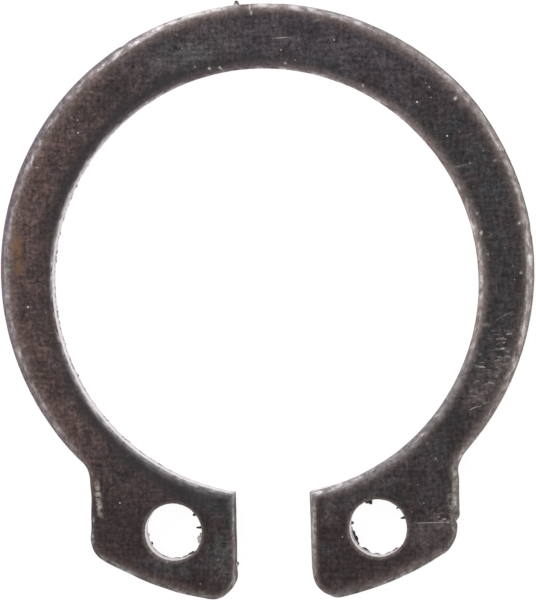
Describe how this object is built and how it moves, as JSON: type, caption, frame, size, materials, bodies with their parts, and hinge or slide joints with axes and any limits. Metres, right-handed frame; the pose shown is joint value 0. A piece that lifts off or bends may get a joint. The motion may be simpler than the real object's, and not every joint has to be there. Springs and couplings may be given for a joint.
{
  "type": "external retaining ring",
  "caption": "External retaining ring stamped from spring steel: an open, tapering ring with a lug and a plier hole at each end, sprung into a shaft groove to hold parts axially.",
  "frame": {"origin": "on the shaft axis, which is the centre of the bore, in the plane of the lower face", "axes": "+Z along the shaft axis, towards the face with the rounded die-roll edges; +Y from the gap towards the widest part of the band; the ring is mirror-symmetric about X = 0"},
  "size_m": [0.018, 0.0201, 0.001],
  "materials": {
    "phosphated_spring_steel": "dark phosphated and oiled spring steel, worn to bare grey metal along the edges"
  },
  "bodies": {
    "root": {"retaining_ring": "phosphated_spring_steel"}
  },
  "joints": []
}
